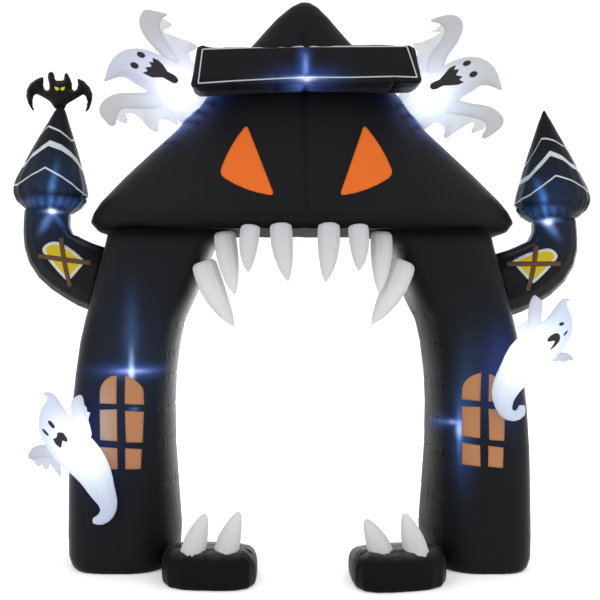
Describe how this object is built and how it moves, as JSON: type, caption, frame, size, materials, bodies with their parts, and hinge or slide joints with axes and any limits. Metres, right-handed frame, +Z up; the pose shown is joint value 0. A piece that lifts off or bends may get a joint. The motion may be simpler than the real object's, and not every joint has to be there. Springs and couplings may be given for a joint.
{
  "type": "inflatable arch",
  "caption": "Air-filled haunted-house archway: a gabled roof with a mouth-shaped doorway ringed with fangs, turrets, a bat, a long sign box and ghosts.",
  "frame": {"origin": "on the ground under the middle of the arch's bounding box", "axes": "+X to the right of someone facing the arch, +Y through the doorway to the back, +Z up"},
  "size_m": [2.8035, 0.9744, 2.7],
  "materials": {
    "black": "matte woven polyester",
    "bone": "matte woven polyester",
    "ghost": "thin white polyester, lit from inside",
    "orange": "matte woven polyester",
    "tan": "matte woven polyester",
    "yellow": "matte woven polyester",
    "brown": "matte woven polyester"
  },
  "bodies": {
    "root": {"roof": "black", "leg_left": "black", "tower_left": "black", "turret_left": "black", "foot_left": "black", "leg_right": "black", "tower_right": "black", "turret_right": "black", "foot_right": "black", "bat": "black", "sign": "black", "tooth_top_1": "bone", "tooth_top_2": "bone", "tooth_top_3": "bone", "tooth_top_4": "bone", "tooth_top_5": "bone", "tooth_top_6": "bone", "tooth_top_7": "bone", "tooth_top_8": "bone", "tooth_low_1": "bone", "tooth_low_2": "bone", "tooth_low_3": "bone", "tooth_low_4": "bone", "eye_left": "orange", "lantern_left": "yellow", "lantern_bars_left": "brown", "pane_left_1": "tan", "pane_left_2": "tan", "pane_left_3": "tan", "pane_left_4": "tan", "pane_left_5": "tan", "pane_left_6": "tan", "eye_right": "orange", "lantern_right": "yellow", "lantern_bars_right": "brown", "pane_right_1": "tan", "pane_right_2": "tan", "pane_right_3": "tan", "pane_right_4": "tan", "pane_right_5": "tan", "pane_right_6": "tan", "ghost_top_left": "ghost", "arm_top_left_high": "ghost", "arm_top_left_low": "ghost", "ghost_top_right": "ghost", "arm_top_right_high": "ghost", "arm_top_right_low": "ghost", "ghost_side_left": "ghost", "arm_side_left_high": "ghost", "arm_side_left_low": "ghost", "ghost_side_right": "ghost", "arm_side_right_high": "ghost", "arm_side_right_low": "ghost"}
  },
  "joints": []
}
